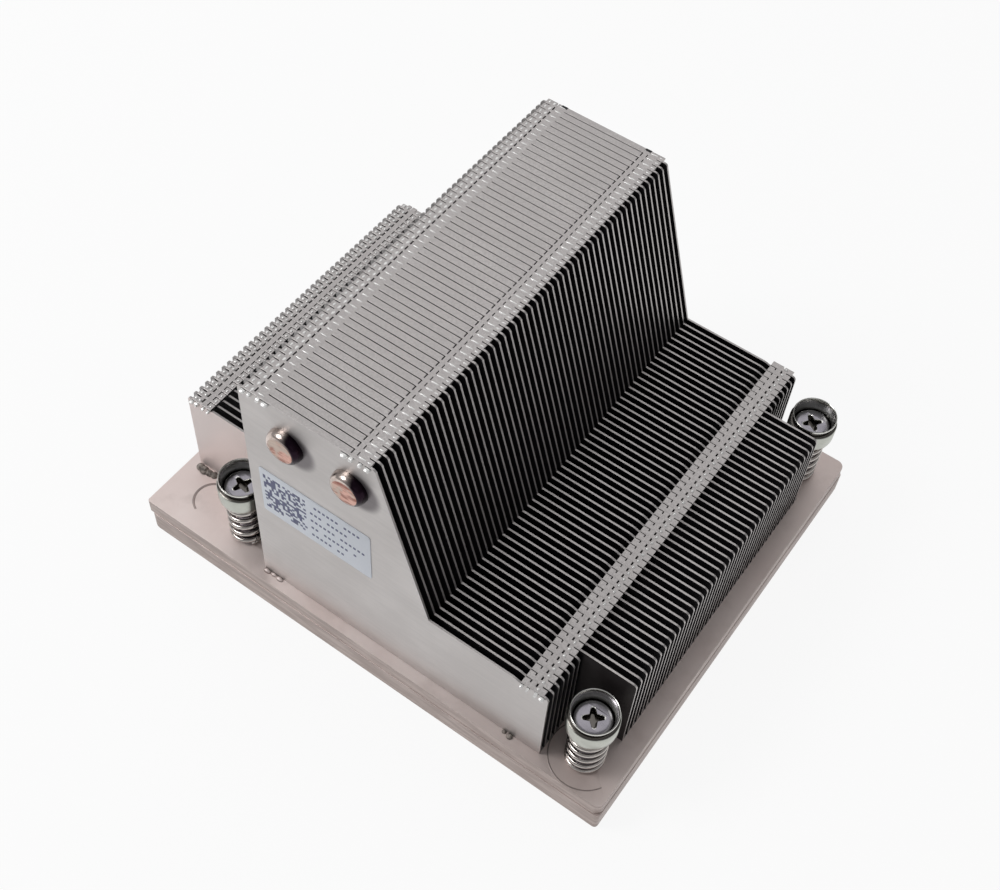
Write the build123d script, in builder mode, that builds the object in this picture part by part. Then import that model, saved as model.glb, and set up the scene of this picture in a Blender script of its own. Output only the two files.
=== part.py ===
"""Processor heat sink: stacked folded fins and two heat pipes on a two-plate base, with four sprung screws.

Millimetres, +Z up. The origin is on the underside of the base, at the centre of the screw pattern.
-Y is the front, where the heat pipe ends and the label are. The fins stand in XZ and are stacked along Y.
"""
import os
from math import cos, pi, radians, sin

from build123d import *

# Screw pattern
screw_pitch_x = 80.0
screw_pitch_y = 80.0

# Base: two plates soldered face to face
base_left = -60.9
base_right = 48.1
base_front = -47.25
base_back = 47.25
lower_plate_thickness = 5.0
upper_plate_thickness = 3.4
upper_plate_inset = 0.4
upper_plate_corner = 1.6
upper_plate_edge = 0.4

# Fin stack
fin_count = 56
fin_pitch = 1.59
fin_thickness = 0.4
front_fin_y = -44.8
short_fins_each_end = 7
wing_clearance = 1.0
fold_gap = 0.1

# Fin outline
block_left = -31.8
block_right = -3.2
block_height = 58.4
slope_foot = 7.7
shelf_height = 22.1
shelf_right = 33.2
wing_left = -58.7
wing_right = 44.0
fin_corner = 0.8
strip_setback = 1.05
wing_fold_width = 5.7
shelf_fold_width = 5.7

# Heat pipes
pipe_x = (-22.0, -8.4)
pipe_diameter = 8.0
pipe_below_top = 8.8
pipe_overhang = 2.4
pipe_tip_taper = 1.0
pipe_back_y = 39.0
upper_bend = 14.0
lower_bend = 12.0
pipe_flat_thickness = 4.0
pipe_front_y = -38.0
groove_clearance = 0.1
slot_clearance = 0.4
flat_neck_start = 10.0
flat_neck_length = 12.0
pipe_sides = 12
hole_sides = 6
bend_steps = 4

# Sprung screws
screw_diameter = 4.0
screw_clearance = 0.3
shank_sides = 12
head_sides = 24
screw_tip_recess = 0.6
head_diameter = 7.3
head_height = 2.2
recess_depth = 1.5
recess_width = 1.0
recess_span = 4.4
cup_diameter = 9.6
cup_wall = 0.7
cup_floor = 1.0
cup_height = 6.3
cup_lift = 12.1
cup_edge = 0.8
rim_step = 0.25
rim_height = 1.0
stud_pocket_diameter = 9.0
pocket_sides = 24
clip_thickness = 0.6
clip_diameter = 7.4
clip_opening = 2.6
clip_corners = 8

# Springs
spring_wire = 0.9
spring_diameter = 7.4
spring_turns = 5
spring_steps = 9
spring_seat_gap = 0.06

# Label
label_left = -29.4
label_bottom = 23.6
label_width = 24.7
label_height = 13.5
label_thickness = 0.15
label_corner = 0.8

# Places that follow from the sizes above
base_top = lower_plate_thickness + upper_plate_thickness
block_top = base_top + block_height
shelf_top = base_top + shelf_height
pipe_axis_z = block_top - pipe_below_top
pipe_radius = pipe_diameter / 2
pipe_flat_width = pipe_flat_thickness + (pipe_diameter - pipe_flat_thickness) * pi / 2
pipe_floor_z = lower_plate_thickness - pipe_flat_thickness / 2
cup_bottom = base_top + cup_lift
head_bottom = cup_bottom + cup_floor
slotted_from_y = pipe_back_y - upper_bend
screw_places = {
    "front_left": (-screw_pitch_x / 2, -screw_pitch_y / 2),
    "front_right": (screw_pitch_x / 2, -screw_pitch_y / 2),
    "back_left": (-screw_pitch_x / 2, screw_pitch_y / 2),
    "back_right": (screw_pitch_x / 2, screw_pitch_y / 2),
}


def fin_plane(y):
    """A plane facing the front, with its own x along X and its own y along Z."""
    return Plane(origin=(0, y, 0), x_dir=(1, 0, 0), z_dir=(0, -1, 0))


def rectangle_between(x0, x1, z0, z1, mode=Mode.ADD):
    """A rectangle in the current sketch, given by its sides."""
    with Locations(((x0 + x1) / 2, (z0 + z1) / 2)):
        Rectangle(x1 - x0, z1 - z0, mode=mode)


def write(part, name):
    """Labels a finished piece and writes its file."""
    part.label = name
    export_step(part, f"parts/{name}.step")


def has_wings(index):
    """The fins in the middle of the stack reach out on both sides, where the screws' cups leave room."""
    front = front_fin_y + index * fin_pitch
    room = screw_pitch_y / 2 - cup_diameter / 2 - wing_clearance
    inside = short_fins_each_end <= index < fin_count - short_fins_each_end
    return inside and -room <= front and front + fin_pitch <= room


def fin_outline(index):
    """The fin's corners, anticlockwise from its lower left one."""
    slant = (slope_foot - block_right) / (block_top - shelf_top)
    block = [
        (block_left, block_top),
        (block_right - fin_corner, block_top),
        (block_right + slant * fin_corner, block_top - fin_corner),
        (slope_foot, shelf_top),
    ]
    end = wing_right if has_wings(index) else shelf_right
    right = [(end - fin_corner, shelf_top), (end, shelf_top - fin_corner), (end, base_top)]
    if has_wings(index):
        left = [(wing_left, base_top), (wing_left, shelf_top), (block_left, shelf_top)]
    else:
        left = [(block_left, base_top)]
    return left + block + right


def fin_folds(index):
    """The strips folded back from the sheet's edges, each as left, right, bottom, top."""
    left = wing_left if has_wings(index) else block_left
    right = wing_right if has_wings(index) else shelf_right
    strip_end = shelf_right - strip_setback
    folds = [
        (block_left, block_right - strip_setback, block_top - fin_thickness, block_top),
        (strip_end - shelf_fold_width, strip_end, shelf_top - fin_thickness, shelf_top),
        (left, right, base_top, base_top + fin_thickness),
    ]
    if has_wings(index):
        folds.append((wing_left, wing_left + wing_fold_width, shelf_top - fin_thickness, shelf_top))
    return folds


def pipe_section(width, thickness):
    """The corners of a pipe's cross-section: even round a circle, or drawn apart where it is pressed flat."""
    radius = thickness / 2 / cos(pi / pipe_sides)
    angles = [2 * pi * (step + 0.5) / pipe_sides for step in range(pipe_sides)]
    spread = (width - thickness) / 2
    return [(radius * cos(a) + (spread if cos(a) > 0 else -spread), radius * sin(a)) for a in angles]


def pipe_face(x, y, width, thickness, mode=Mode.ADD):
    """Draws a pipe's cross-section in the current sketch."""
    Polygon(*[(x + dx, y + dy) for dx, dy in pipe_section(width, thickness)], align=None, mode=mode)


def pipe_openings(index, y):
    """Cuts the way for both heat pipes: a hole in most fins, and a slot where the pipes turn down."""
    for x in pipe_x:
        if y + fin_thickness > slotted_from_y:
            wide = pipe_flat_width / 2 + slot_clearance
            neck_top = base_top + flat_neck_start + flat_neck_length
            narrow = pipe_radius + slot_clearance
            rectangle_between(x - wide, x + wide, base_top, neck_top, Mode.SUBTRACT)
            rectangle_between(x - narrow, x + narrow, neck_top, pipe_axis_z + narrow, Mode.SUBTRACT)
        elif index == 0:
            pipe_face(x, pipe_axis_z, pipe_diameter, pipe_diameter, Mode.SUBTRACT)
        else:
            with Locations((x, pipe_axis_z)):
                RegularPolygon(pipe_radius, hole_sides, major_radius=False, mode=Mode.SUBTRACT)


def fin_pair(first):
    """Two neighbouring fins, hooked together: the first one's folds close on the second one's sheet."""
    with BuildPart() as pair:
        for index in (first, first + 1):
            y = front_fin_y + index * fin_pitch
            with BuildSketch(fin_plane(y)):
                Polygon(*fin_outline(index), align=None)
                pipe_openings(index, y)
            extrude(amount=-fin_thickness)
            with BuildSketch(fin_plane(y)):
                for sides in fin_folds(index):
                    rectangle_between(*sides)
                if y + fin_thickness > slotted_from_y:
                    pipe_openings(index, y)
            extrude(amount=-(fin_pitch if index == first else fin_pitch - fold_gap))
    return pair.part


def bend_points(centre_y, centre_z, radius, start, end):
    """Points on a quarter bend in the YZ plane, from one angle to the other."""
    turn = (end - start) / bend_steps
    angles = [radians(start + turn * step) for step in range(bend_steps + 1)]
    return [(centre_y + radius * cos(angle), centre_z + radius * sin(angle)) for angle in angles]


def heat_pipe(x):
    """A pipe bent into a C: round through the fins, pressed flat from its lower bend into the base."""
    neck_bottom_z = base_top + flat_neck_start
    neck_top_z = neck_bottom_z + flat_neck_length
    tip_y = front_fin_y - pipe_overhang
    upper = bend_points(pipe_back_y - upper_bend, pipe_axis_z - upper_bend, upper_bend, 90, 0)
    lower = bend_points(pipe_back_y - lower_bend, pipe_floor_z + lower_bend, lower_bend, 0, -90)
    round_route = [(tip_y, pipe_axis_z), *upper, (pipe_back_y, neck_top_z)]
    flat_route = [(pipe_back_y, neck_bottom_z), *lower, (pipe_front_y, pipe_floor_z)]
    with BuildPart() as pipe:
        with BuildLine() as round_path:
            Polyline(*[(x, y, z) for y, z in round_route])
        with BuildSketch(fin_plane(tip_y)):
            pipe_face(x, pipe_axis_z, pipe_diameter, pipe_diameter)
        sweep(path=round_path.line, transition=Transition.RIGHT)
        chamfer(pipe.edges().group_by(Axis.Y)[0], pipe_tip_taper)
        with BuildSketch(Plane.XY.offset(neck_top_z)):
            pipe_face(x, pipe_back_y, pipe_diameter, pipe_diameter)
        with BuildSketch(Plane.XY.offset(neck_bottom_z)):
            pipe_face(x, pipe_back_y, pipe_flat_width, pipe_flat_thickness)
        loft(ruled=True)
        with BuildLine() as flat_path:
            Polyline(*[(x, y, z) for y, z in flat_route])
        with BuildSketch(Plane.XY.offset(neck_bottom_z)):
            pipe_face(x, pipe_back_y, pipe_flat_width, pipe_flat_thickness)
        sweep(path=flat_path.line, transition=Transition.RIGHT)
    return pipe.part


def spring(x, y):
    """An open coil spring of round wire, drawn with few faces, from the base up to the cup."""
    mean = (spring_diameter - spring_wire) / 2
    rise = cup_lift - spring_wire - 2 * spring_seat_gap
    steps = spring_turns * spring_steps
    points = []
    for step in range(steps + 1):
        angle = 2 * pi * step / spring_steps
        height = base_top + spring_seat_gap + spring_wire / 2 + rise * step / steps
        points.append((x + mean * cos(angle), y + mean * sin(angle), height))
    with BuildPart() as coil:
        with BuildLine() as path:
            Polyline(*points)
        with BuildSketch(Plane(origin=points[0], x_dir=(1, 0, 0), z_dir=path.line % 0)):
            Rectangle(spring_wire, spring_wire)
        sweep(path=path.line, transition=Transition.RIGHT)
    return coil.part


def cup(x, y):
    """The turned cup that the screw head sits in. The spring bears on its underside."""
    with BuildPart() as body:
        with BuildSketch(Plane.XY.offset(cup_bottom)):
            with Locations((x, y)):
                RegularPolygon(cup_diameter / 2, head_sides)
        extrude(amount=cup_height - rim_height)
        chamfer(body.edges().group_by(Axis.Z)[0], cup_edge)
        with BuildSketch(Plane.XY.offset(cup_bottom + cup_height - rim_height)):
            with Locations((x, y)):
                RegularPolygon(cup_diameter / 2 - rim_step, head_sides)
        extrude(amount=rim_height)
        with BuildSketch(Plane.XY.offset(head_bottom)):
            with Locations((x, y)):
                RegularPolygon(cup_diameter / 2 - cup_wall, head_sides)
        extrude(amount=cup_height, mode=Mode.SUBTRACT)
        with BuildSketch(Plane.XY.offset(cup_bottom)):
            with Locations((x, y)):
                RegularPolygon(screw_diameter / 2 + screw_clearance, shank_sides)
        extrude(amount=cup_floor, mode=Mode.SUBTRACT)
    return body.part


def screw(x, y):
    """A cross-recessed screw. Its tip stays inside the base at rest."""
    with BuildPart() as body:
        with BuildSketch(Plane.XY.offset(screw_tip_recess)):
            with Locations((x, y)):
                RegularPolygon(screw_diameter / 2, shank_sides)
        extrude(amount=head_bottom - screw_tip_recess)
        with BuildSketch(Plane.XY.offset(head_bottom)):
            with Locations((x, y)):
                RegularPolygon(head_diameter / 2, head_sides)
        extrude(amount=head_height)
        with BuildSketch(Plane.XY.offset(head_bottom + head_height)):
            with Locations((x, y)):
                Rectangle(recess_span, recess_width)
                Rectangle(recess_width, recess_span)
        extrude(amount=-recess_depth, mode=Mode.SUBTRACT)
    return body.part


def clip(x, y):
    """The spring clip on the shank that keeps the screw in the base."""
    with BuildPart() as body:
        with BuildSketch(Plane.XY.offset(lower_plate_thickness - clip_thickness)):
            with Locations((x, y)):
                RegularPolygon(clip_diameter / 2, clip_corners)
                RegularPolygon(screw_diameter / 2, shank_sides, mode=Mode.SUBTRACT)
            with Locations((x, y + clip_diameter / 2)):
                Rectangle(clip_opening, clip_diameter, mode=Mode.SUBTRACT)
        extrude(amount=clip_thickness)
    return body.part


os.makedirs("parts", exist_ok=True)

base_centre = ((base_left + base_right) / 2, (base_front + base_back) / 2)
base_length = base_right - base_left
base_width = base_back - base_front
groove_width = pipe_flat_width + 2 * groove_clearance
groove_back = pipe_back_y - lower_bend + (lower_bend + pipe_flat_thickness / 2) * sin(radians(60))

with BuildPart() as lower_plate:
    with BuildSketch():
        with Locations(base_centre):
            Rectangle(base_length, base_width)
        with GridLocations(screw_pitch_x, screw_pitch_y, 2, 2):
            RegularPolygon(stud_pocket_diameter / 2, pocket_sides, mode=Mode.SUBTRACT)
    extrude(amount=lower_plate_thickness)
    with BuildSketch(Plane.XY.offset(lower_plate_thickness)):
        for x in pipe_x:
            sides = (x - groove_width / 2, x + groove_width / 2)
            rectangle_between(*sides, pipe_front_y - groove_clearance, groove_back)
    extrude(amount=-pipe_flat_thickness, mode=Mode.SUBTRACT)
write(lower_plate.part, "lower_base_plate")

with BuildPart() as upper_plate:
    with BuildSketch(Plane.XY.offset(lower_plate_thickness)):
        with Locations(base_centre):
            RectangleRounded(
                base_length - 2 * upper_plate_inset, base_width - 2 * upper_plate_inset, upper_plate_corner
            )
        with GridLocations(screw_pitch_x, screw_pitch_y, 2, 2):
            RegularPolygon(screw_diameter / 2 + screw_clearance, shank_sides, mode=Mode.SUBTRACT)
        for x in pipe_x:
            rectangle_between(
                x - groove_width / 2,
                x + groove_width / 2,
                pipe_back_y - lower_bend - slot_clearance,
                pipe_back_y + pipe_flat_thickness / 2 + slot_clearance,
                Mode.SUBTRACT,
            )
    extrude(amount=upper_plate_thickness)
    chamfer(upper_plate.faces().sort_by(Axis.Z)[-1].outer_wire().edges(), upper_plate_edge)
write(upper_plate.part, "upper_base_plate")

for side, x in zip(("left", "right"), pipe_x):
    write(heat_pipe(x), f"heat_pipe_{side}")

for first in range(0, fin_count, 2):
    write(fin_pair(first), f"fin_pair_{first // 2 + 1:02d}")

with BuildPart() as label:
    with BuildSketch(fin_plane(front_fin_y)) as label_face:
        with Locations((label_left + label_width / 2, base_top + label_bottom + label_height / 2)):
            Rectangle(label_width, label_height)
        chamfer(label_face.vertices(), label_corner)
    extrude(amount=label_thickness)
write(label.part, "label")

for place, (x, y) in screw_places.items():
    write(screw(x, y), f"screw_{place}")
    write(cup(x, y), f"screw_cup_{place}")
    write(spring(x, y), f"screw_spring_{place}")
    write(clip(x, y), f"screw_clip_{place}")
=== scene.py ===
import math

import bmesh
import bpy
from mathutils import Matrix, Vector
from mathutils.geometry import tessellate_polygon


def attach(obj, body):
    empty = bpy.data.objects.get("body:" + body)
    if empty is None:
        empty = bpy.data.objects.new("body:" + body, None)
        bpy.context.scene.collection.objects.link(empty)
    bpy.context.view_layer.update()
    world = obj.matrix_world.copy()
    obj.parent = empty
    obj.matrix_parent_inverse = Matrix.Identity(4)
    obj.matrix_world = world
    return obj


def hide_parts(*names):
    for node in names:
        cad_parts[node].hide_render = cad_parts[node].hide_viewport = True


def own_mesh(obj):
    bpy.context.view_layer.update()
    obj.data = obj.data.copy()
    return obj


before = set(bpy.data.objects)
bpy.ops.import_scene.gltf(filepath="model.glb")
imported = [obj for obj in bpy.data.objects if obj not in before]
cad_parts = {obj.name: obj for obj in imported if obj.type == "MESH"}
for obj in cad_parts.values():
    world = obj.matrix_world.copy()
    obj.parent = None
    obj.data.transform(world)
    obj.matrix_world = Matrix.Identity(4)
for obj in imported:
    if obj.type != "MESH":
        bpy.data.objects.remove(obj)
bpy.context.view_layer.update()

# Sizes are in millimetres, as in the part's source, and places are in the part's own frame.
MM = 0.001

# Base
BASE_LEFT, BASE_RIGHT = -60.9, 48.1
BASE_FRONT, BASE_BACK = -47.25, 47.25
LOWER_PLATE = 5.0
BASE_TOP = 8.4
UPPER_INSET = 0.12
UPPER_CORNER = 1.6
UPPER_FIRST_CORNER = 0.5
LOWER_CORNER = 0.8
LOWER_FIRST_CORNER = 2.0

# Fin stack
FINS = 56
PITCH = 1.59
SHEET = 0.4
FRONT_FIN = -44.8
SHORT_FINS = 7
BLOCK_LEFT, BLOCK_RIGHT = -31.8, -3.2
BLOCK_TOP = 66.8
SLOPE_FOOT = 7.7
SHELF_TOP = 30.5
SHELF_RIGHT = 33.2
WING_LEFT, WING_RIGHT = -58.7, 44.0
FIN_CORNER = 0.9
SETBACK = 1.05

# Heat pipes
PIPES = {"heat_pipe_left": -22.0, "heat_pipe_right": -8.4}
PIPE_RADIUS = 4.0
PIPE_Z = 58.0
PIPE_TIP = -46.6
PIPE_BACK = 39.0
UPPER_BEND = 14.0
LOWER_BEND = 12.0
PIPE_FLAT = 4.0
PIPE_FLAT_WIDTH = PIPE_FLAT + (2 * PIPE_RADIUS - PIPE_FLAT) * math.pi / 2
PIPE_FLOOR = LOWER_PLATE - PIPE_FLAT / 2
NECK_LOW, NECK_HIGH = 18.4, 30.4
PIPE_FLAT_END = -38.0
SLOT_FROM = PIPE_BACK - UPPER_BEND
SLOT_ROOM = 0.4
GROOVE_ROOM = 0.1

# Sprung screws
SCREWS = {
    "front_left": (-40.0, -40.0),
    "front_right": (40.0, -40.0),
    "back_left": (-40.0, 40.0),
    "back_right": (40.0, 40.0),
}
CUP_FLOOR = 20.5
CUP_RIM = 26.8
CUP_RADIUS = 4.8
HEAD_SEAT = 21.5
HEAD_TOP = 24.3
HEAD_RADIUS = 3.72
SHANK_RADIUS = 2.0
SHANK_TIP = 0.6
SHANK_ROOM = 0.3
POCKET_RADIUS = 4.5
SPRING_RADIUS = 3.4
WIRE = 0.45
COILS = 6


# ---- Shader fields and paints


class Field:
    """A shader value. Arithmetic on it adds Math nodes to its paint."""

    def __init__(self, paint, socket):
        self.paint = paint
        self.socket = socket

    def combined(self, operation, first, second):
        node = self.paint.node("ShaderNodeMath", {"operation": operation}, {0: first, 1: second})
        return Field(self.paint, node.outputs[0])

    def __add__(self, other):
        return self.combined("ADD", self, other)

    def __radd__(self, other):
        return self.combined("ADD", other, self)

    def __sub__(self, other):
        return self.combined("SUBTRACT", self, other)

    def __rsub__(self, other):
        return self.combined("SUBTRACT", other, self)

    def __mul__(self, other):
        return self.combined("MULTIPLY", self, other)

    def __rmul__(self, other):
        return self.combined("MULTIPLY", other, self)

    def over(self, level):
        """1 above the level, 0 below it."""
        return self.combined("GREATER_THAN", self, level)

    def ramp(self, low, high):
        """From 0 below low to 1 above high."""
        settings = {"clamp": True, "interpolation_type": "SMOOTHSTEP"}
        node = self.paint.node("ShaderNodeMapRange", settings, {"Value": self, "From Min": low, "From Max": high})
        return Field(self.paint, node.outputs["Result"])


class Nodes:
    """A node tree and a short way to add nodes to it."""

    def __init__(self, tree):
        self.tree = tree

    def node(self, kind, settings=None, inputs=None):
        """A node of this kind. Its settings come first, then the values or links of its sockets."""
        made = self.tree.nodes.new(kind)
        for key, value in (settings or {}).items():
            setattr(made, key, value)
        for key, value in (inputs or {}).items():
            self.join(value, made.inputs[key])
        return made

    def join(self, value, socket):
        """Links a field or socket to a socket, or sets it to a plain value."""
        if isinstance(value, Field):
            value = value.socket
        if isinstance(value, bpy.types.NodeSocket):
            self.tree.links.new(value, socket)
        else:
            socket.default_value = value


def opaque(value):
    """Gives a plain colour its fourth number."""
    return (*value, 1.0) if isinstance(value, tuple) else value


class Paint(Nodes):
    """A material, its Principled shader and the patterns that vary over it."""

    def __init__(self, name, **constants):
        self.material = bpy.data.materials.new(name)
        self.material.use_nodes = True
        super().__init__(self.material.node_tree)
        self.shader = self.tree.nodes["Principled BSDF"]
        for socket, value in constants.items():
            self.shader.inputs[socket.capitalize()].default_value = value

    def place(self, stretch=(1, 1, 1), turn=(0, 0, 0)):
        """Object coordinates in millimetres, stretched so that a pattern runs along an axis."""
        here = self.node("ShaderNodeTexCoord").outputs["Object"]
        scale = [1000 * s for s in stretch]
        return self.node("ShaderNodeMapping", None, {"Vector": here, "Scale": scale, "Rotation": turn}).outputs[0]

    def part(self, vector, axis):
        """One of a vector's three parts."""
        return Field(self, self.node("ShaderNodeSeparateXYZ", None, {0: vector}).outputs[axis])

    def along(self, axis):
        """The place along X, Y or Z, in millimetres."""
        return self.part(self.place(), axis)

    def facing(self, axis):
        """How far a face looks along X, Y or Z, from -1 to 1."""
        return self.part(self.node("ShaderNodeNewGeometry").outputs["Normal"], axis)

    def lying(self):
        """1 on faces that look up or down, 0 on upright ones."""
        level = self.facing("Z")
        return level * level

    def noise(self, scale, stretch=(1, 1, 1), detail=3.0, turn=(0, 0, 0)):
        inputs = {"Vector": self.place(stretch, turn), "Scale": scale, "Detail": detail, "Roughness": 0.55}
        return Field(self, self.node("ShaderNodeTexNoise", None, inputs).outputs["Fac"])

    def blend(self, amount, low, high):
        """Mixes two colours: low where amount is 0, high where it is 1."""
        node = self.node("ShaderNodeMix", {"data_type": "RGBA"}, {"Factor": amount, 6: opaque(low), 7: opaque(high)})
        return node.outputs[2]

    def set(self, socket, value):
        self.join(opaque(value), self.shader.inputs[socket])

    def bump(self, height, distance, strength):
        """Relief under the light, its distance in millimetres."""
        inputs = {"Height": height, "Distance": distance * MM, "Strength": strength}
        self.set("Normal", self.node("ShaderNodeBump", None, inputs).outputs["Normal"])


# The painted shadow on the front sheet: how far its middle is right of each pipe's and below it, then its reach and
# its soft edge as squares of millimetres
SHADOW_RIGHT, SHADOW_BELOW = 1.5, 0.4
SHADOW_REACH, SHADOW_SOFT = 27.0, 16.0

# Where the painted shade on the sheets' inner faces stops, at the set-back left end of a sheet's strips, so that the
# face there keeps a light metal tone: that patch's depth, and how far it goes past both its sides
NOTCH_DEPTH, NOTCH_ROOM = 1.4, 0.1


def painted_pipe_shadow(paint):
    """1 on the front sheet just right of each pipe, where a soft dark shadow is painted."""
    amount = 0.0
    for x in PIPES.values():
        aside = paint.along("X") - (x + SHADOW_RIGHT)
        high = paint.along("Z") - (PIPE_Z - SHADOW_BELOW)
        near = SHADOW_REACH - aside * aside - high * high
        amount = near.ramp(0.0, SHADOW_SOFT) + amount
    return amount * (FRONT_FIN + SHEET / 2 - paint.along("Y")).over(0.0)


def sheet_metal():
    """Rolled aluminium sheet: faint rolling lines, soft smudges, grainy folds and a painted shadow beside the pipes.
    """
    paint = Paint("rolled_aluminium", metallic=0.82)
    rolled = paint.noise(1.6, stretch=(0.08, 1, 1.0), detail=4)
    smudge = paint.noise(0.07, detail=4)
    grain = paint.noise(3.2)
    tone = paint.blend(smudge.ramp(0.35, 0.7), (0.49, 0.463, 0.452), (0.56, 0.532, 0.52))
    tone = paint.blend(rolled.ramp(0.35, 0.75) * 0.22, tone, (0.41, 0.395, 0.39))
    tone = paint.blend(paint.lying().ramp(0.5, 0.9) * grain.ramp(0.25, 0.75), tone, (0.40, 0.375, 0.37))
    # Painted shadow: near black purple grey just right of each pipe.
    tone = paint.blend(painted_pipe_shadow(paint) * 0.8, tone, (0.09, 0.075, 0.085))
    paint.set("Base Color", tone)
    paint.set("Roughness", 0.30 + 0.12 * smudge + 0.10 * rolled)
    paint.bump(rolled, 0.012, 0.5)
    return paint.material


def painted_shade_metal(name, wing=False):
    """The sheets' faces inside the stack, painted near black as shade, but for light patches at the left ends of
    their strips, where the painted shade stops.

    A wing sheet's face is also seen beyond the short fins on both sides: on the left it is painted light pink, a
    painted reflection of the lit base, and on the right it keeps nearly all of its painted shade.
    """
    paint = Paint(name, metallic=0.4)
    uneven = paint.noise(0.3)
    # Painted shade: the inner faces are near black.
    tone = paint.blend(uneven, (0.010, 0.009, 0.011), (0.022, 0.020, 0.022))
    # The strips' left ends keep a light metal tone where the painted shade stops.
    for left, top in ((BLOCK_LEFT, BLOCK_TOP), (WING_LEFT, SHELF_TOP)):
        before_end = (left + SETBACK + NOTCH_ROOM - paint.along("X")).over(0.0)
        after_start = (paint.along("X") - (left - NOTCH_ROOM)).over(0.0)
        high = (paint.along("Z") - (top - NOTCH_DEPTH)).over(0.0)
        tone = paint.blend(before_end * after_start * high, tone, (0.40, 0.385, 0.38))
    if wing:
        # Painted reflection of the lit pink base on the wing face left of the block; right of the shelf the painted
        # shade stays.
        tone = paint.blend((BLOCK_LEFT - paint.along("X")).over(0.0), tone, (0.74, 0.65, 0.625))
        tone = paint.blend(paint.along("X").over(SHELF_RIGHT) * 0.025, tone, (0.60, 0.45, 0.40))
    paint.set("Base Color", tone)
    paint.set("Roughness", 0.42 + 0.1 * uneven)
    return paint.material


def pink_metal():
    """The base's satin metal: pinkish and milled on top with pale cloudy stains, darkened towards the right as
    painted shade; darker and sawn on its sides, partly their own sawn tone and partly painted shade.
    """
    paint = Paint("satin_pink_metal", metallic=0.5)
    cloud = paint.noise(0.045, detail=5)
    stain = paint.noise(0.16, detail=4, turn=(0.4, 0.2, 0.9))
    milled = paint.noise(2.4, stretch=(0.05, 1, 1))
    sawn = paint.noise(0.9, stretch=(0.12, 0.12, 1), detail=4)
    top = paint.blend(cloud.ramp(0.3, 0.7), (0.80, 0.68, 0.645), (0.92, 0.82, 0.785))
    top = paint.blend(stain.ramp(0.52, 0.72) * 0.35, top, (0.60, 0.50, 0.465))
    # Painted shade: the top darkens towards the right.
    top = paint.blend(paint.along("X").ramp(-5.0, 45.0) * 0.4, top, (0.48, 0.385, 0.35))
    # The sides are darker than the top: sawn grain, and painted shade.
    side = paint.blend(sawn.ramp(0.35, 0.7), (0.36, 0.288, 0.262), (0.52, 0.435, 0.402))
    paint.set("Base Color", paint.blend(paint.lying().ramp(0.15, 0.65), side, top))
    paint.set("Roughness", 0.34 + 0.14 * cloud + 0.08 * milled)
    paint.bump(milled * 0.6 + stain * 0.8, 0.02, 0.45)
    return paint.material


def bright_metal(name, tone, rough, metallic=1.0):
    """Plated, turned or polished metal, only slightly uneven. Plain bright or dark copies made here also serve as
    painted highlight and painted shade.
    """
    paint = Paint(name, metallic=metallic)
    uneven = paint.noise(0.5)
    paint.set("Base Color", paint.blend(uneven.ramp(0.35, 0.7), tone, tuple(0.9 * c for c in tone)))
    paint.set("Roughness", rough + 0.10 * uneven)
    paint.bump(uneven, 0.02, 0.25)
    return paint.material


def tinned_copper():
    """A pipe's tinned wall, mottled, with painted shade: the side that faces right is near black purple brown."""
    paint = Paint("tinned_pipe", metallic=1.0)
    uneven = paint.noise(0.35, detail=4)
    # Painted shade on the side facing right.
    painted_shade_side = (paint.facing("X") + 0.5 * uneven).ramp(0.12, 0.60)
    tone = paint.blend(uneven.ramp(0.4, 0.65), (0.70, 0.60, 0.55), (0.50, 0.42, 0.38))
    paint.set("Base Color", paint.blend(painted_shade_side, tone, (0.018, 0.010, 0.016)))
    paint.set("Roughness", 0.16 + 0.16 * uneven)
    paint.bump(uneven, 0.04, 0.4)
    return paint.material


def resin():
    """Dark brown lumpy flux."""
    paint = Paint("dried_flux", metallic=0.0)
    lumps = paint.noise(1.2, detail=5)
    paint.set("Base Color", paint.blend(lumps.ramp(0.35, 0.7), (0.09, 0.075, 0.065), (0.42, 0.37, 0.33)))
    paint.set("Roughness", 0.45 + 0.3 * lumps)
    paint.bump(lumps, 0.3, 0.8)
    return paint.material


def cut_copper():
    """The sawn and crimped end of a copper pipe: pink streaks with tinned patches."""
    paint = Paint("sawn_copper", metallic=1.0)
    streak = paint.noise(1.1, stretch=(0.35, 1, 1.6), detail=4, turn=(0, 0.6, 0))
    tinned = paint.noise(0.4, detail=2)
    tone = paint.blend(streak.ramp(0.4, 0.62), (0.30, 0.13, 0.10), (0.66, 0.40, 0.33))
    tone = paint.blend(tinned.ramp(0.46, 0.60) * 0.85, tone, (0.50, 0.42, 0.36))
    paint.set("Base Color", tone)
    paint.set("Roughness", 0.28 + 0.2 * streak)
    paint.bump(streak, 0.08, 0.8)
    return paint.material


def film():
    """The label's matt film, bluish white with the faintest grain."""
    paint = Paint("label_film", metallic=0.0)
    grain = paint.noise(6.0, detail=2)
    paint.set("Base Color", paint.blend(grain, (0.68, 0.71, 0.77), (0.75, 0.78, 0.84)))
    paint.set("Roughness", 0.42 + 0.1 * grain)
    paint.bump(grain, 0.004, 0.3)
    return paint.material


def ink():
    """Dark blue print."""
    paint = Paint("label_ink", metallic=0.0)
    patchy = paint.noise(5.0, detail=2)
    paint.set("Base Color", paint.blend(patchy.ramp(0.3, 0.7), (0.07, 0.08, 0.17), (0.12, 0.13, 0.24)))
    paint.set("Roughness", 0.45 + 0.15 * patchy)
    return paint.material


METAL = sheet_metal()
# Painted highlight: a near white, half metallic aluminium for the bumps and lips, so that they show bright under any
# light.
HIGHLIGHT_ALUMINIUM = bright_metal("highlight_painted_aluminium", (0.92, 0.91, 0.89), 0.22, metallic=0.4)
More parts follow.
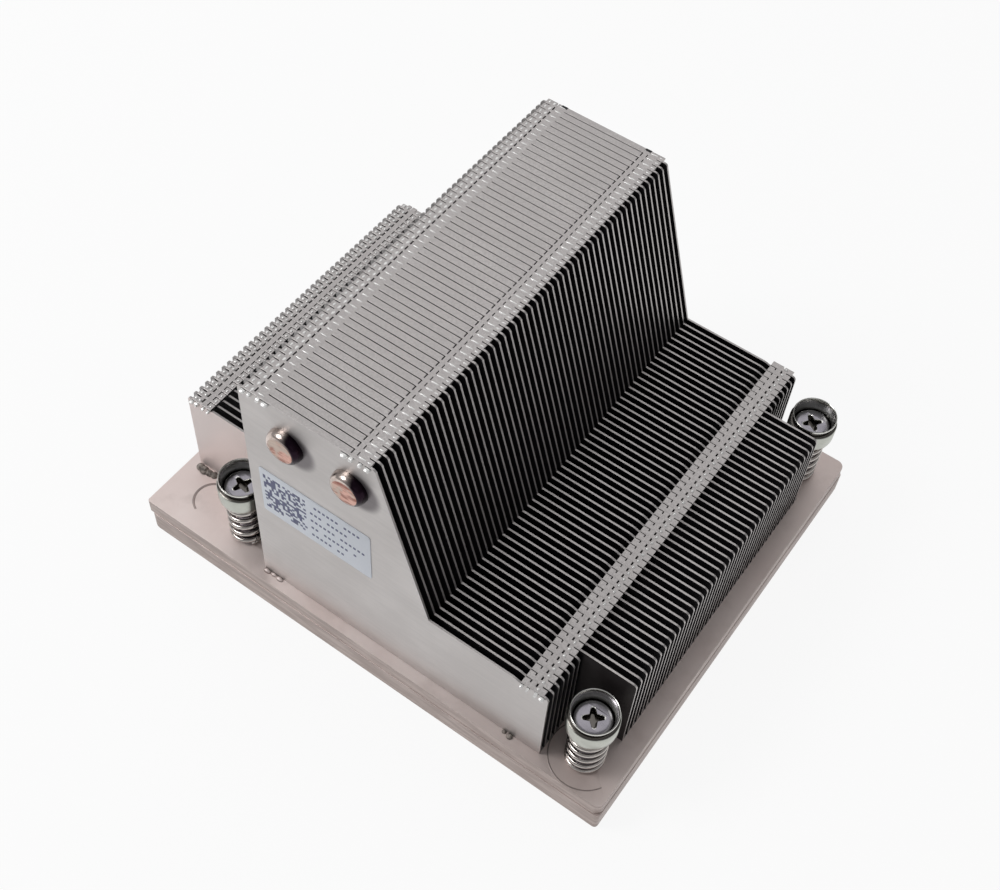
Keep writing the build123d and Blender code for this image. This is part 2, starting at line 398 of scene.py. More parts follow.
# Painted shade for the sheets' faces inside the stack.
PAINTED_SHADE = painted_shade_metal("painted_shade_aluminium")
# The wing sheets' faces: painted shade, with a painted reflection of the base on their left part.
WING_FACE = painted_shade_metal("wing_painted_light_aluminium", wing=True)
PINK = pink_metal()
# Painted highlight: bright nickel for the cups' rings and the recess lips.
HIGHLIGHT_NICKEL = bright_metal("highlight_painted_nickel", (0.80, 0.79, 0.75), 0.16)
CUP_METAL = bright_metal("turned_nickel", (0.50, 0.51, 0.465), 0.24)
# Painted shade: dark nickel for the cups' grooves and bores and the recess walls.
SHADE_NICKEL = bright_metal("shade_painted_nickel", (0.13, 0.12, 0.11), 0.18)
SCREW_METAL = bright_metal("screw_nickel", (0.30, 0.285, 0.315), 0.20)
WIRE_METAL = bright_metal("spring_nickel", (0.56, 0.52, 0.49), 0.12)
PIPE_METAL = tinned_copper()
CLIP_METAL = bright_metal("clip_steel", (0.50, 0.50, 0.51), 0.24)
COPPER = cut_copper()
FLUX = resin()
# Painted shade for the pressed rings: darker than the base, standing for the shade in a groove.
RING_SHADE = bright_metal("painted_ring_shade", (0.40, 0.335, 0.315), 0.40)
FILM = film()
INK = ink()


# ---- Mesh making

BEVEL_ANGLE = 40


class Form:
    """Gathers corners and faces in millimetres, and turns them into one object.

    A paint here is a face's place in the list of materials that the object is made with.
    """

    def __init__(self):
        self.corners = []
        self.faces = []
        self.paints = []

    def add(self, corners, faces, paint=0):
        first = len(self.corners)
        self.corners += [tuple(c) for c in corners]
        for face in faces:
            self.faces.append([first + i for i in face])
            self.paints.append(paint)

    def rings(self, rings, closed=False, caps=(True, True), paint=0, stripe=None):
        """Joins rings of equal length by quads. stripe gives some sides of a ring another paint."""
        size = len(rings[0])
        first = len(self.faces)
        pairs = len(rings) if closed else len(rings) - 1
        faces = []
        for a in range(pairs):
            b = (a + 1) % len(rings)
            for i in range(size):
                j = (i + 1) % size
                faces.append((a * size + i, a * size + j, b * size + j, b * size + i))
        if not closed and caps[0]:
            faces.append(tuple(reversed(range(size))))
        if not closed and caps[1]:
            faces.append(tuple((len(rings) - 1) * size + i for i in range(size)))
        self.add([p for ring in rings for p in ring], faces, paint)
        for a in range(pairs):
            for i, tone in (stripe or {}).items():
                self.paints[first + a * size + i] = tone

    def plate(self, loops, place, thickness, paint=0, faced=(0, 0)):
        """A flat plate from an outline and its holes. place(a, b, t) gives a corner at depth t.

        faced gives its first and second face a paint of their own.
        """
        ends = [p for loop in loops for p in loop]
        count = len(ends)
        corners = [place(a, b, 0) for a, b in ends] + [place(a, b, thickness) for a, b in ends]
        first = len(self.faces)
        tris = tessellate_polygon([[Vector((a, b, 0)) for a, b in loop] for loop in loops])
        faces = [tuple(tri) for tri in tris]
        faces += [tuple(count + i for i in reversed(tri)) for tri in tris]
        start = 0
        for loop in loops:
            for i in range(len(loop)):
                j = (i + 1) % len(loop)
                faces.append((start + i, start + j, count + start + j, count + start + i))
            start += len(loop)
        self.add(corners, faces, paint)
        for side, tone in enumerate(faced):
            for i in range(len(tris)):
                self.paints[first + side * len(tris) + i] = tone or paint

    def lathe(self, profile, centre, steps, stripe):
        """Turns a closed profile of radius and height about a vertical axis."""
        rings = []
        for i in range(steps):
            angle = 2 * math.pi * i / steps
            rings.append([
                (centre[0] + r * math.cos(angle), centre[1] + r * math.sin(angle), z) for r, z in profile
            ])
        self.rings(rings, closed=True, stripe=stripe)

    def made(self, name, materials, smooth=35, bevel=0.0, segments=2):
        """The finished object, smooth up to an angle in degrees, with its edges rounded by bevel."""
        mesh = bpy.data.meshes.new(name)
        mesh.from_pydata([[MM * v for v in c] for c in self.corners], [], self.faces)
        for material in materials:
            mesh.materials.append(material)
        for face, paint in zip(mesh.polygons, self.paints):
            face.material_index = paint
        mesh.validate()
        made = bpy.data.objects.new(name, mesh)
        bpy.context.scene.collection.objects.link(made)
        tidy_normals(made)
        if bevel:
            edge = made.modifiers.new("edges", "BEVEL")
            edge.width = bevel * MM
            edge.segments = segments
            edge.limit_method = "ANGLE"
            edge.angle_limit = math.radians(BEVEL_ANGLE)
            edge.harden_normals = True
            apply_modifiers(made)
        made.data.shade_smooth()
        with bpy.context.temp_override(active_object=made, object=made, selected_editable_objects=[made]):
            bpy.ops.object.shade_smooth_by_angle(angle=math.radians(smooth))
        return made


def tidy_normals(thing):
    """Welds doubled corners and turns all faces outwards."""
    work = bmesh.new()
    work.from_mesh(thing.data)
    bmesh.ops.remove_doubles(work, verts=work.verts, dist=1e-7)
    bmesh.ops.recalc_face_normals(work, faces=work.faces)
    work.to_mesh(thing.data)
    work.free()


def apply_modifiers(thing):
    """Bakes the object's modifiers into its mesh."""
    view = bpy.context.evaluated_depsgraph_get()
    whole = bpy.data.meshes.new_from_object(thing.evaluated_get(view))
    thing.modifiers.clear()
    thing.data = whole


def level(z):
    """Places a plate's corners lying at height z, its depth upwards."""
    return lambda a, b, t: (a, b, z + t)


def upright(y):
    """Places a plate's corners standing at y, its depth towards the front."""
    return lambda a, b, t: (a, y - t, b)


def arc(centre, radius, start, end, steps):
    """Points on an arc, angles in degrees."""
    turn = math.radians(end - start) / steps
    first = math.radians(start)
    return [
        (centre[0] + radius * math.cos(first + turn * i), centre[1] + radius * math.sin(first + turn * i))
        for i in range(steps + 1)
    ]


def circle(centre, radius, steps):
    return arc(centre, radius, 0, 360, steps)[:-1]


def box(x0, x1, y0, y1):
    return [(x0, y0), (x1, y0), (x1, y1), (x0, y1)]


def rounded_box(x0, x1, y0, y1, radius, steps, first=None):
    """A rectangle with rounded corners, anticlockwise. first is the radius of its first corner, if that differs."""
    own = first or radius
    corners = [
        arc((x0 + own, y0 + own), own, 180, 270, steps),
        arc((x1 - radius, y0 + radius), radius, 270, 360, steps),
        arc((x1 - radius, y1 - radius), radius, 0, 90, steps),
        arc((x0 + radius, y1 - radius), radius, 90, 180, steps),
    ]
    return [p for corner in corners for p in corner]


def turned(points, angle):
    """The points turned about the origin."""
    return [
        (a * math.cos(angle) - b * math.sin(angle), a * math.sin(angle) + b * math.cos(angle)) for a, b in points
    ]


def settle(piece, body, slot, *nodes):
    """Lets a piece ride on its body, in place of its CAD nodes if it has any."""
    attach(piece, body)
    if nodes:
        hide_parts(*nodes)


# ---- Fins

# The sheets' paints: open metal; painted shade on faces inside the stack; the wing faces' painted shade and painted
# reflection; the painted highlight of bumps and lips
FIN_MATERIALS = [METAL, PAINTED_SHADE, WING_FACE, HIGHLIGHT_ALUMINIUM]
OPEN, SHADED, WINGED, HIGHLIGHTED = range(4)

# A fold's bend, the rounding under it and at its tip, and how far it bows up where it laps over the next sheet
FOLD_RADIUS = 0.13
FOLD_ROOT, FOLD_ROOT_EDGE = 0.07, 0.03
FOLD_TIP, FOLD_TIP_UNDER = 0.05, 0.04
FOLD_BOW, FOLD_BOW_LENGTH = 0.02, 0.25
# What the folds leave open before the next sheet: along the top, behind the last fin and at the foot
SEAM, LAST_SEAM, FOOT_SEAM = 0.17, 0.26, 0.12
# How far a sheet's edge is lowered between its strips, at its bare ends and at its tabs
BARE_DROP, EDGE_DROP, TAB_DROP = 0.10, 0.02, 0.1
# How far the top of a tab's edge is set back from it, on the block and wing and on the shelf
TAB_EDGE, SHELF_TAB_EDGE = 0.05, 0.1
# The room round a pipe in its hole, and the share of its radius that the front sheet's hole has
HOLE_ROOM = 0.03
FRONT_HOLE = 0.9
# A hook this deep laps over the next sheet
CLOSED = PITCH + 0.10

# The hooks of a strip, from its inner end to its outer end: width, how deep the fold is, and the bump on it as
# half width, half depth and height
TOP_RIGHT_HOOKS = (
    (0.24, 0.55, None),
    (0.86, CLOSED, None),
    (0.20, 0.80, None),
    (1.85, CLOSED, (0.85, 0.17, 0.10)),
    (1.10, 1.42, (0.45, 0.14, 0.08)),
)
TOP_LEFT_HOOKS = (
    (2.07, CLOSED, (0.80, 0.14, 0.11)),
    (0.30, 0.62, None),
    (0.90, CLOSED, (0.30, 0.42, 0.11)),
    (1.30, 1.42, (0.22, 0.40, 0.10)),
)
SIDE_HOOKS = (
    (1.15, 1.48, None),
    (0.24, 1.02, None),
    (1.02, CLOSED, None),
    (0.34, 0.92, None),
    (0.80, CLOSED, (0.34, 0.34, 0.28)),
    (1.10, 1.42, None),
)
WING_HOOKS = (
    (1.15, 1.48, (0.30, 0.30, 0.20)),
    (0.24, 0.60, None),
    (1.02, CLOSED, None),
    (0.34, 0.60, None),
    (0.80, CLOSED, (0.36, 0.36, 0.34)),
    (1.20, 1.30, (0.40, 0.36, 0.30)),
)
# A bump's middle behind its sheet's face, and its foot in the fold
BUMP_BACK, BUMP_SUNK = 0.72, 0.02
BUMP_RINGS, BUMP_STEP, BUMP_SIDES = 5, 20.0, 12

# The front sheet's bent lips below its hooks: how far their ends are from the strip's outer corner, and their height
TOP_LIPS = ((0.75, 2.0, 0.30), (2.4, 3.2, 0.42), (4.2, 5.1, 0.55), (5.3, 6.8, 0.32))
SIDE_LIPS = ((0.6, 1.75, 0.30), (2.0, 2.85, 0.58), (3.8, 4.4, 0.36), (5.0, 5.7, 0.28))
# Along a lip: the share of its length, and the share by which it has swollen there
LIP_SHAPE = ((0, 0.0), (0.03, 0.35), (0.10, 0.8), (0.2, 1.0), (0.8, 1.0), (0.9, 0.8), (0.97, 0.35), (1, 0.0))
LIP_THIN = 0.12
LIP_SUNK, LIP_PROUD = 0.05, 0.75
LIP_BELOW, LIP_FLATNESS = 0.62, 0.9
LIP_SIDES = 14
# The dark slit over a lip, a thin plate of painted shade for the shadow under the fold: its ends past the lip's, its
# foot and top below the fold, and its thickness
SLIT_PAST, SLIT_FOOT, SLIT_TOP = 0.05, 0.34, 0.16
SLIT_THICK = 0.012

# The shelf's inner corner, as steps inwards and down from the strip's end, and where its bare edge starts
SHELF_DIP = ((0.0, 0.5), (0.5, 0.42), (1.0, 0.22))
SHELF_BARE_FROM = 1.7
SLOPE_ROOM = 0.15
# The slope's upper corner, as steps left and up from where it starts, then left of there and down from the top
CORNER_RISE = ((0.06, 0.35), (0.22, 0.60))
CORNER_CREST = ((0.45, 0.12), (0.75, 0.02))
# The wing's inner corner: how far right its bare edge ends, and its foot below the top
WING_BARE_TO, WING_DIP = 0.5, 0.4

# The slits on top of the last fin, thin plates of painted shade between its middle fold and its hooks
LAST_SLIT_ASIDE, LAST_SLIT_HALF = 0.7, 0.65
LAST_SLIT_FRONT, LAST_SLIT_BACK = 0.75, 0.24
LAST_SLIT_THICK = 0.02

FOLD_ARC = [
    (FOLD_RADIUS * (1 - math.cos(a)), FOLD_RADIUS * (math.sin(a) - 1))
    for a in [math.radians(22.5 * i) for i in range(5)]
]


def strip_end(start, way, pattern):
    """Where a strip of hooks ends that runs from start to the left (-1) or right (+1)."""
    return start + way * sum(width for width, _, _ in pattern)


TOP_TAB = BLOCK_RIGHT - SETBACK
TOP_RIGHT_INNER = strip_end(TOP_TAB, -1, TOP_RIGHT_HOOKS)
TOP_LEFT_INNER = strip_end(BLOCK_LEFT + SETBACK, 1, TOP_LEFT_HOOKS)
SHELF_TAB = SHELF_RIGHT - SETBACK
SHELF_INNER = strip_end(SHELF_TAB, -1, SIDE_HOOKS)
WING_INNER = strip_end(WING_LEFT + SETBACK, 1, WING_HOOKS)


def has_wings(index):
    return SHORT_FINS <= index < FINS - SHORT_FINS


def fold(form, x0, x1, y, z, depth, up=True):
    """One folded flange: it leaves the sheet's face in a bend and runs back by depth."""
    side = 1 if up else -1
    bow = FOLD_BOW if depth > PITCH else 0.0
    section = list(FOLD_ARC) + [(depth - FOLD_BOW_LENGTH, 0.0), (depth - FOLD_TIP, bow), (depth, bow - FOLD_TIP)]
    section += [(depth, -SHEET + FOLD_TIP_UNDER), (depth - FOLD_TIP_UNDER, -SHEET)]
    section += [(SHEET + FOLD_ROOT, -SHEET), (SHEET - FOLD_ROOT_EDGE, -SHEET - FOLD_ROOT)]
    section += [(FOLD_ROOT_EDGE, -SHEET - FOLD_ROOT)]
    form.rings([[(x, y + a, z + side * b) for a, b in section] for x in (x0, x1)])


def bump(form, x, y, z, reach, height, paint=0):
    """A small rounded bump, such as where two fins are hooked. reach is its half width and half depth."""
    rings = []
    for i in range(BUMP_RINGS):
        angle = math.radians(BUMP_STEP * i)
        share = math.cos(angle)
        rings.append([
            (x + reach[0] * share * a, y + reach[1] * share * b, z + height * math.sin(angle))
            for a, b in circle((0, 0), 1.0, BUMP_SIDES)
        ])
    form.rings(rings, caps=(False, True), paint=paint)


def hooks(form, y, z, inner, outward, pattern, last):
    """A strip of hooks along a fin's edge, from x = inner towards outward (+1 or -1)."""
    x = inner
    for width, depth, raised in pattern:
        ends = sorted((x, x + outward * width))
        fold(form, ends[0], ends[1], y, z, PITCH - LAST_SEAM if last and depth > 1 else depth)
        # The bumps take the painted highlight.
        if raised:
            bump(form, sum(ends) / 2, y + BUMP_BACK, z - BUMP_SUNK, raised[:2], raised[2], paint=HIGHLIGHTED)
        x += outward * width


def lips(form, corner, inward, y, z, pattern):
    """A sheet's bent lips: small rounded bars, painted bright as highlights, that stand out of its face under its
    hooks, each below a dark slit of painted shade.
    """
    for near, far, height in pattern:
        x0, x1 = sorted((corner + inward * near, corner + inward * far))
        rings = []
        for along, share in LIP_SHAPE:
            x = x0 + (x1 - x0) * along
            swell = LIP_THIN + (1 - LIP_THIN) * share
            proud, tall = LIP_PROUD * swell, height * swell * LIP_FLATNESS
            rings.append([
                (x, y + LIP_SUNK - proud * max(0.0, -b), z - LIP_BELOW + tall * a)
                for a, b in circle((0, 0), 1.0, LIP_SIDES)
            ])
        form.rings(rings, paint=HIGHLIGHTED)
        # A thin plate of painted shade stands for the slit's shadow.
        slit = box(x0 - SLIT_PAST, x1 + SLIT_PAST, z - SLIT_FOOT, z - SLIT_TOP)
        form.plate([slit], upright(y), SLIT_THICK, paint=SHADED)


def corner_left(left, top, under):
    """A sheet's bare rounded end beyond the strip on its left side, drawn leftwards and down."""
    tab = left + SETBACK
    centre = (left + FIN_CORNER, top - EDGE_DROP - FIN_CORNER)
    ends = [(tab, under), (tab, top - TAB_DROP), (tab - TAB_EDGE, top - EDGE_DROP)]
    return ends + arc(centre, FIN_CORNER, 90, 180, 6)


def sheet_loops(index, y):
    """The sheet's outline, lowered where its edge is folded, and the holes for the pipes."""
    low = BASE_TOP + FOLD_RADIUS
    block_fold = BLOCK_TOP - FOLD_RADIUS
    shelf_fold = SHELF_TOP - FOLD_RADIUS
    shelf_bare = SHELF_TOP - BARE_DROP
    wide = has_wings(index)
    slotted = y + SHEET > SLOT_FROM

    # Along the foot, with slots for the pipes in the back sheets
    outline = [(WING_LEFT if wide else BLOCK_LEFT, low)]
    if slotted:
        broad = PIPE_FLAT_WIDTH / 2 + SLOT_ROOM
        narrow = PIPE_RADIUS + SLOT_ROOM
        for x in PIPES.values():
            outline += [(x - broad, low), (x - broad, NECK_HIGH), (x - narrow, NECK_HIGH)]
            outline += arc((x, PIPE_Z), narrow, 180, 0, 12)
            outline += [(x + narrow, NECK_HIGH), (x + broad, NECK_HIGH), (x + broad, low)]

    # Up the right side, along the shelf to the slope and up to the top
    right = WING_RIGHT if wide else SHELF_RIGHT
    outline += [(right, low)]
    outline += arc((right - FIN_CORNER, SHELF_TOP - EDGE_DROP - FIN_CORNER), FIN_CORNER, 0, 90, 6)
    outline += [(SHELF_TAB + SHELF_TAB_EDGE, SHELF_TOP - EDGE_DROP), (SHELF_TAB, SHELF_TOP - TAB_DROP)]
    outline += [(SHELF_TAB, shelf_fold), (SHELF_INNER, shelf_fold)]
    outline += [(SHELF_INNER - inward, SHELF_TOP - down) for inward, down in SHELF_DIP]
    outline += [(SHELF_INNER - SHELF_BARE_FROM, shelf_bare), (SLOPE_FOOT + SLOPE_ROOM, shelf_bare)]
    lean = (SLOPE_FOOT - BLOCK_RIGHT) / (BLOCK_TOP - SHELF_TOP)
    crest = (BLOCK_RIGHT + FIN_CORNER * lean, BLOCK_TOP - FIN_CORNER)
    outline += [crest] + [(crest[0] - aside, crest[1] + up) for aside, up in CORNER_RISE]
    outline += [(crest[0] - aside, BLOCK_TOP - down) for aside, down in CORNER_CREST]

    # Along the top and down the left side
    outline += [(TOP_TAB + TAB_EDGE, BLOCK_TOP - EDGE_DROP), (TOP_TAB, BLOCK_TOP - TAB_DROP), (TOP_TAB, block_fold)]
    outline += corner_left(BLOCK_LEFT, BLOCK_TOP, block_fold)
    if wide:
        outline += [(BLOCK_LEFT, shelf_bare), (WING_INNER + WING_BARE_TO, shelf_bare)]
        outline += [(WING_INNER, SHELF_TOP - WING_DIP), (WING_INNER, shelf_fold)]
        outline += corner_left(WING_LEFT, SHELF_TOP, shelf_fold)
    if slotted:
        return [outline]
    hole = PIPE_RADIUS * (FRONT_HOLE if index == 0 else 1.0) + HOLE_ROOM
    return [outline] + [circle((x, PIPE_Z), hole, 28)[::-1] for x in PIPES.values()]


def fin(form, index):
    """One fin with its folds, hooks and pipe holes."""
    y = FRONT_FIN + index * PITCH
    first, last = index == 0, index == FINS - 1
    # Faces inside the stack take the painted shade. The exposed wing faces take the wing's painted shade and painted
    # reflection.
    front = OPEN if first else WINGED if index == SHORT_FINS else SHADED
    back = OPEN if last else WINGED if index == FINS - SHORT_FINS - 1 else SHADED
    form.plate(sheet_loops(index, y), lambda a, b, t: (a, y + t, b), SHEET, faced=(front, back))
    fold(form, TOP_LEFT_INNER, TOP_RIGHT_INNER, y, BLOCK_TOP, PITCH - (LAST_SEAM if last else SEAM))
    hooks(form, y, BLOCK_TOP, TOP_LEFT_INNER, -1, TOP_LEFT_HOOKS, last)
    hooks(form, y, BLOCK_TOP, TOP_RIGHT_INNER, 1, TOP_RIGHT_HOOKS, last)
    hooks(form, y, SHELF_TOP, SHELF_INNER, 1, SIDE_HOOKS, last)
    left, right = BLOCK_LEFT, SHELF_RIGHT
    if has_wings(index):
        hooks(form, y, SHELF_TOP, WING_INNER, -1, WING_HOOKS, last)
        left, right = WING_LEFT, WING_RIGHT
    if last:
        # Thin plates of painted shade stand for the slits.
        for x in (TOP_LEFT_INNER - LAST_SLIT_ASIDE, TOP_RIGHT_INNER + LAST_SLIT_ASIDE):
            slit = box(x - LAST_SLIT_HALF, x + LAST_SLIT_HALF, y + LAST_SLIT_FRONT, y + PITCH - LAST_SLIT_BACK)
            form.plate([slit], level(BLOCK_TOP), LAST_SLIT_THICK, paint=SHADED)
    if first:
        lips(form, BLOCK_RIGHT, -1, y, BLOCK_TOP, TOP_LIPS)
        lips(form, BLOCK_LEFT, 1, y, BLOCK_TOP, TOP_LIPS)
        lips(form, SHELF_RIGHT, -1, y, SHELF_TOP, SIDE_LIPS)
    if index == SHORT_FINS:
        lips(form, WING_LEFT, 1, y, SHELF_TOP, SIDE_LIPS)
    stops = [left]
    if y + SHEET > SLOT_FROM:
        broad = PIPE_FLAT_WIDTH / 2 + SLOT_ROOM
        for x in PIPES.values():
            stops += [x - broad, x + broad]
    stops.append(right)
    for x0, x1 in zip(stops[::2], stops[1::2]):
        fold(form, x0, x1, y, BASE_TOP, PITCH - FOOT_SEAM, up=False)


def fin_pair(number):
    """Two hooked fins, in place of one CAD node."""
    form = Form()
    for index in (2 * number, 2 * number + 1):
        fin(form, index)
    piece = form.made(f"folded_fins_{number + 1:02d}", FIN_MATERIALS, smooth=40)
    settle(piece, "heat_sink", "fins", f"fin_pair_{number + 1:02d}")


for number in range(FINS // 2):
    fin_pair(number)


# ---- Base plates

# The angle of the lower bend at which its groove begins
GROOVE_ANGLE = 60
GROOVE_END = 0.1
# Smoothing stops at this angle, so that the flat tops stay flat beside their rounded edges
PLATE_SMOOTH = 10

# Hardened lumps where a sheet and the base are soldered: x, y, half width, half depth and height of each
LUMPS = (
    ("flux_wing", FLUX, (
        (-57.8, -34.7, 0.9, 0.9, 0.9),
        (-56.6, -34.9, 1.1, 1.0, 1.1),
        (-55.3, -34.8, 1.0, 0.8, 0.8),
        (-54.2, -34.6, 0.9, 0.8, 0.9),
    )),
    ("solder_left", PINK, (
        (-31.0, -45.2, 0.9, 0.5, 0.6),
        (-29.4, -45.1, 0.8, 0.4, 0.45),
        (-27.9, -45.2, 0.9, 0.5, 0.5),
    )),
    ("solder_right", FLUX, (
        (25.6, -45.1, 0.5, 0.4, 0.5),
        (26.9, -45.3, 0.7, 0.6, 0.8),
    )),
)

# Marks of a pressing tool: centre, radius, width, height, and start and end in degrees. A ring starts at a share of
# its height, rises to all of it, and its flat crown reaches this share of its width to both sides.
PRESS_MARKS = (
    ("pressed_ring_corner", (-50.4, -39.2), 3.9, 0.7, 0.06, 100, 250),
    ("pressed_ring_screw", SCREWS["front_right"], 6.8, 0.4, 0.02, 150, 330),
)
RING_STEPS = 48
RING_END, RING_RISE = 0.15, 4
RING_CROWN = 0.25
# How deep a lump or ring sits in the base
SUNK = 0.05


def base_plates():
    """Both plates, with the holes, pockets and grooves of the CAD solids and softened edges."""
    broad = PIPE_FLAT_WIDTH / 2 + GROOVE_ROOM
    lower = Form()
    outline = rounded_box(BASE_LEFT, BASE_RIGHT, BASE_FRONT, BASE_BACK, LOWER_CORNER, 5, first=LOWER_FIRST_CORNER)
    pockets = [circle(at, POCKET_RADIUS, 32)[::-1] for at in SCREWS.values()]
    reach = (LOWER_BEND + PIPE_FLAT / 2) * math.sin(math.radians(GROOVE_ANGLE))
    groove_back = PIPE_BACK - LOWER_BEND + reach
    grooves = [box(x - broad, x + broad, groove_back, PIPE_FLAT_END - GROOVE_END) for x in PIPES.values()]
    floor = LOWER_PLATE - PIPE_FLAT
    lower.plate([outline] + pockets, level(0), floor)
    lower.plate([outline] + pockets + grooves, level(floor), PIPE_FLAT)
    piece = lower.made("lower_plate", [PINK], smooth=PLATE_SMOOTH, bevel=0.10)
    settle(piece, "heat_sink", "base", "lower_base_plate")

    upper = Form()
    outline = rounded_box(
        BASE_LEFT + UPPER_INSET, BASE_RIGHT - UPPER_INSET, BASE_FRONT + UPPER_INSET, BASE_BACK - UPPER_INSET,
        UPPER_CORNER, 12, first=UPPER_FIRST_CORNER,
    )
    holes = [circle(at, SHANK_RADIUS + SHANK_ROOM, 28)[::-1] for at in SCREWS.values()]
    front = PIPE_BACK - LOWER_BEND - SLOT_ROOM
    back = PIPE_BACK + PIPE_FLAT / 2 + SLOT_ROOM
    openings = [box(x - broad, x + broad, back, front) for x in PIPES.values()]
    upper.plate([outline] + holes + openings, level(LOWER_PLATE), BASE_TOP - LOWER_PLATE)
    piece = upper.made("upper_plate", [PINK], smooth=PLATE_SMOOTH, bevel=0.22, segments=4)
    settle(piece, "heat_sink", "base", "upper_base_plate")


def hardened_lumps(name, paint, lumps):
    """A row of lumps on the base, as one piece."""
    form = Form()
    for x, y, wide, deep, height in lumps:
        bump(form, x, y, BASE_TOP - SUNK, (wide, deep), height)
    settle(form.made(name, [paint], smooth=60), "heat_sink", "base")


def pressed_ring(name, centre, radius, width, height, start, end):
    """A part of a faint raised ring on the base, that fades towards its ends, painted darker than the base as the
    shade of a pressed groove.
    """
    form = Form()
    rings = []
    for i in range(RING_STEPS + 1):
        angle = math.radians(start + (end - start) * i / RING_STEPS)
        crown = BASE_TOP + height * min(1.0, RING_END + RING_RISE * min(i, RING_STEPS - i) / RING_STEPS)
        section = (
            (radius - width / 2, BASE_TOP - SUNK), (radius - width * RING_CROWN, crown),
            (radius + width * RING_CROWN, crown), (radius + width / 2, BASE_TOP - SUNK),
        )
        rings.append([(centre[0] + r * math.cos(angle), centre[1] + r * math.sin(angle), z) for r, z in section])
    form.rings(rings)
    settle(form.made(name, [RING_SHADE], smooth=60), "heat_sink", "base")


base_plates()
for row in LUMPS:
    hardened_lumps(*row)
for row in PRESS_MARKS:
    pressed_ring(*row)


# ---- Heat pipes

PIPE_SIDES = 40
UPPER_STEPS, NECK_STEPS, LOWER_STEPS = 14, 8, 12
# The crimped shoulder at the front end: its length, the share of the radius behind it and how much it narrows
SHOULDER_STEPS = 7
SHOULDER_LENGTH = 1.6
CRIMPED, SHOULDER_DROP = 0.90, 0.24
# Behind the front sheet the pipe widens again: places, and the share of its radius there
CRIMP_END = ((FRONT_FIN + SHEET + 0.1, 0.9), (FRONT_FIN + SHEET + 0.4, 1.0))
# The closed end in the base: share of the radius and how far past the route's end, and the length kept for it
PIPE_CLOSED = ((0.8, 0.35), (0.4, 0.55))
PIPE_CLOSED_LENGTH = 0.6
# The sawn face: share of the radius, and how far behind the tip
SAWN_FACE = ((0.66, 0.0), (0.63, -0.06), (0.54, -0.10), (0.32, 0.04), (0.05, -0.10))


def pipe_section(width, thickness):
    """A pipe's section, round or pressed flat, as offsets across its route and through its thickness."""
    radius = thickness / 2
    spread = (width - thickness) / 2
    ring = []
    for i in range(PIPE_SIDES):
        angle = 2 * math.pi * (i + 0.5) / PIPE_SIDES
        side = spread if math.cos(angle) > 0 else -spread
        ring.append((radius * math.cos(angle) + side, radius * math.sin(angle)))
    return ring


def pipe_ring(x, y, z, turn, flat, grow=1.0, shift=0.0):
    """One ring of a pipe. flat is 0 where it is round and 1 where it is pressed flat."""
    thickness = 2 * PIPE_RADIUS * (1 - flat) + PIPE_FLAT * flat
    width = 2 * PIPE_RADIUS * (1 - flat) + PIPE_FLAT_WIDTH * flat
    along = (math.cos(turn), -math.sin(turn))
    out = (math.sin(turn), math.cos(turn))
    return [
        (x + a, y + b * out[0] + shift * along[0], z + b * out[1] + shift * along[1])
        for a, b in pipe_section(width * grow, thickness * grow)
    ]


def pipe_route():
    """The stations of a pipe's middle line behind its straight run: y, z, turn and how flat it is."""
    route = []
    for i in range(UPPER_STEPS + 1):
        turn = math.radians(90 * i / UPPER_STEPS)
        y = PIPE_BACK - UPPER_BEND + UPPER_BEND * math.sin(turn)
        z = PIPE_Z - UPPER_BEND + UPPER_BEND * math.cos(turn)
        route.append((y, z, turn, 0.0))
    for i in range(NECK_STEPS + 1):
        share = i / NECK_STEPS
        flat = share * share * (3 - 2 * share)
        route.append((PIPE_BACK, NECK_HIGH + (NECK_LOW - NECK_HIGH) * share, math.pi / 2, flat))
    for i in range(LOWER_STEPS + 1):
        turn = math.radians(90 * i / LOWER_STEPS)
        y = PIPE_BACK - LOWER_BEND + LOWER_BEND * math.cos(turn)
        z = PIPE_FLOOR + LOWER_BEND - LOWER_BEND * math.sin(turn)
        route.append((y, z, math.pi / 2 + turn, 1.0))
    route.append((PIPE_FLAT_END + PIPE_CLOSED_LENGTH, PIPE_FLOOR, math.pi, 1.0))
    return route


def heat_pipe(name, x):
    """A round pipe that bends down behind the fins, is pressed flat and turns under them into the base."""
    shoulder = []
    for i in range(SHOULDER_STEPS + 1):
        angle = math.radians(90 * i / SHOULDER_STEPS)
        y = PIPE_TIP + SHOULDER_LENGTH * (1 - math.cos(angle))
        shoulder.append((y, CRIMPED - (1 - math.sin(angle)) * SHOULDER_DROP))
    route = pipe_route()
    rings = [pipe_ring(x, y, PIPE_Z, 0, 0, grow) for y, grow in [*shoulder, *CRIMP_END]]
    rings += [pipe_ring(x, *station) for station in route]
    rings += [pipe_ring(x, *route[-1], grow, shift) for grow, shift in PIPE_CLOSED]
    face = [pipe_ring(x, PIPE_TIP + depth, PIPE_Z, 0, 0, reach) for reach, depth in SAWN_FACE]
    form = Form()
    form.rings(rings, caps=(False, True))
    form.rings(face, caps=(False, True), paint=1)
    piece = form.made(f"{name}_bent", [PIPE_METAL, COPPER], smooth=50)
    settle(piece, "heat_sink", "heat_pipe", name)


for name, x in PIPES.items():
    heat_pipe(name, x)


# ---- Label

LABEL_LEFT, LABEL_FOOT = -29.4, 32.0
LABEL_WIDTH, LABEL_HEIGHT = 24.7, 13.5
LABEL_THICK = 0.12
LABEL_CORNER = 0.6
PRINT_THICK = 0.012

# The square of cells: the gaps left of it and below it, a cell's side, and its columns and rows
CELLS_LEFT, CELLS_FOOT = 0.8, 1.8
CELL = 0.56
CELLS_WIDE, CELLS_HIGH = 17, 18
